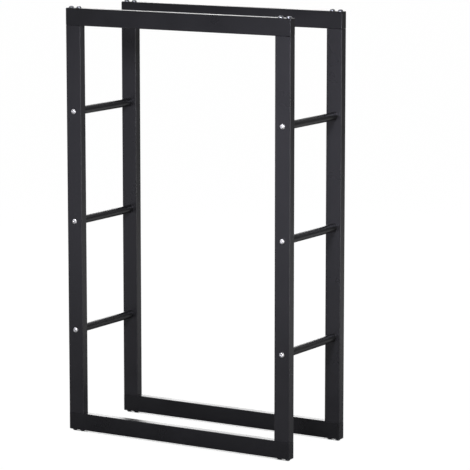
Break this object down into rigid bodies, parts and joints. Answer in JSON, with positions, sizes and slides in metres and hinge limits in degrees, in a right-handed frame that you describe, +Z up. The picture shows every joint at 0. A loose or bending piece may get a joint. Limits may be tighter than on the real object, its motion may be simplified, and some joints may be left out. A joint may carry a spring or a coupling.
{
  "type": "firewood rack",
  "caption": "Open firewood rack: front and rear rectangular tube frames bolted at the corners and held apart by round side crossbars, for logs stacked front to back.",
  "frame": {"origin": "on the floor at the centre of the footprint, under the crowns of the lowest bolt heads", "axes": "+X to the rack's right seen from the front, +Y from the front frame to the rear one, +Z up"},
  "size_m": [0.6, 0.258, 1],
  "materials": {
    "black_powder_coat": "satin black powder coat",
    "black_plastic": "moulded matt",
    "zinc_plated_steel": "bright zinc plating",
    "plain_steel": "bare, turned"
  },
  "bodies": {
    "root": {"front_bottom_rail": "black_powder_coat", "front_left_bottom_corner_bolts": "zinc_plated_steel", "front_left_bottom_end_cap": "black_plastic", "front_left_bottom_end_plate": "black_powder_coat", "front_left_crossbar_bolts": "zinc_plated_steel", "front_left_top_corner_bolts": "zinc_plated_steel", "front_left_top_end_cap": "black_plastic", "front_left_top_end_plate": "black_powder_coat", "front_left_upright": "black_powder_coat", "front_left_weld_nuts": "plain_steel", "front_right_bottom_corner_bolts": "zinc_plated_steel", "front_right_bottom_end_cap": "black_plastic", "front_right_bottom_end_plate": "black_powder_coat", "front_right_crossbar_bolts": "zinc_plated_steel", "front_right_top_corner_bolts": "zinc_plated_steel", "front_right_top_end_cap": "black_plastic", "front_right_top_end_plate": "black_powder_coat", "front_right_upright": "black_powder_coat", "front_right_weld_nuts": "plain_steel", "front_top_rail": "black_powder_coat", "left_lower_crossbar": "black_powder_coat", "left_lower_crossbar_inserts": "plain_steel", "left_middle_crossbar": "black_powder_coat", "left_middle_crossbar_inserts": "plain_steel", "left_upper_crossbar": "black_powder_coat", "left_upper_crossbar_inserts": "plain_steel", "rear_bottom_rail": "black_powder_coat", "rear_left_bottom_corner_bolts": "zinc_plated_steel", "rear_left_bottom_end_cap": "black_plastic", "rear_left_bottom_end_plate": "black_powder_coat", "rear_left_crossbar_bolts": "zinc_plated_steel", "rear_left_top_corner_bolts": "zinc_plated_steel", "rear_left_top_end_cap": "black_plastic", "rear_left_top_end_plate": "black_powder_coat", "rear_left_upright": "black_powder_coat", "rear_left_weld_nuts": "plain_steel", "rear_right_bottom_corner_bolts": "zinc_plated_steel", "rear_right_bottom_end_cap": "black_plastic", "rear_right_bottom_end_plate": "black_powder_coat", "rear_right_crossbar_bolts": "zinc_plated_steel", "rear_right_top_corner_bolts": "zinc_plated_steel", "rear_right_top_end_cap": "black_plastic", "rear_right_top_end_plate": "black_powder_coat", "rear_right_upright": "black_powder_coat", "rear_right_weld_nuts": "plain_steel", "rear_top_rail": "black_powder_coat", "right_lower_crossbar": "black_powder_coat", "right_lower_crossbar_inserts": "plain_steel", "right_middle_crossbar": "black_powder_coat", "right_middle_crossbar_inserts": "plain_steel", "right_upper_crossbar": "black_powder_coat", "right_upper_crossbar_inserts": "plain_steel"}
  },
  "joints": []
}
